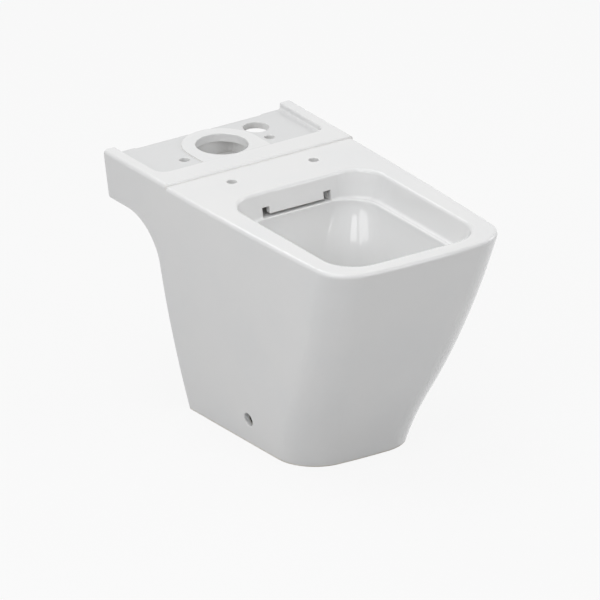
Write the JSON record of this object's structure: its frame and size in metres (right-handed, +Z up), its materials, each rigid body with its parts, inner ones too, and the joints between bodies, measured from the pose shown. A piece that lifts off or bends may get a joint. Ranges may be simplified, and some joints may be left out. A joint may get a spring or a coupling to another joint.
{
  "type": "floor-standing toilet pan",
  "caption": "Back-to-wall style toilet pan with a square rimless bowl, a cistern platform and hidden side floor fixing, for a close-coupled cistern and a bolt-on seat.",
  "frame": {"origin": "on the floor under the centre of the pan's bounding box", "axes": "+X to the right seen from the front, +Y to the wall behind the pan, +Z up"},
  "size_m": [0.355, 0.6375, 0.404],
  "materials": {
    "glazed_china": "white vitreous china with a clear gloss glaze",
    "bracket_nylon": "moulded dark grey glass-filled nylon",
    "dowel_nylon": "moulded black nylon",
    "zinc_steel": "bright zinc-plated steel"
  },
  "bodies": {
    "root": {"rim_and_deck": "glazed_china", "outer_skirt": "glazed_china", "flush_ring": "glazed_china", "bowl": "glazed_china", "trapway": "glazed_china", "outlet_spigot": "glazed_china", "flush_channel": "glazed_china", "floor_bracket_left": "bracket_nylon", "locking_dowel_left": "dowel_nylon", "dowel_screw_left": "zinc_steel", "screw_washer_left": "zinc_steel", "bracket_nut_left": "zinc_steel", "floor_bracket_right": "bracket_nylon", "locking_dowel_right": "dowel_nylon", "dowel_screw_right": "zinc_steel", "screw_washer_right": "zinc_steel", "bracket_nut_right": "zinc_steel"}
  },
  "joints": []
}
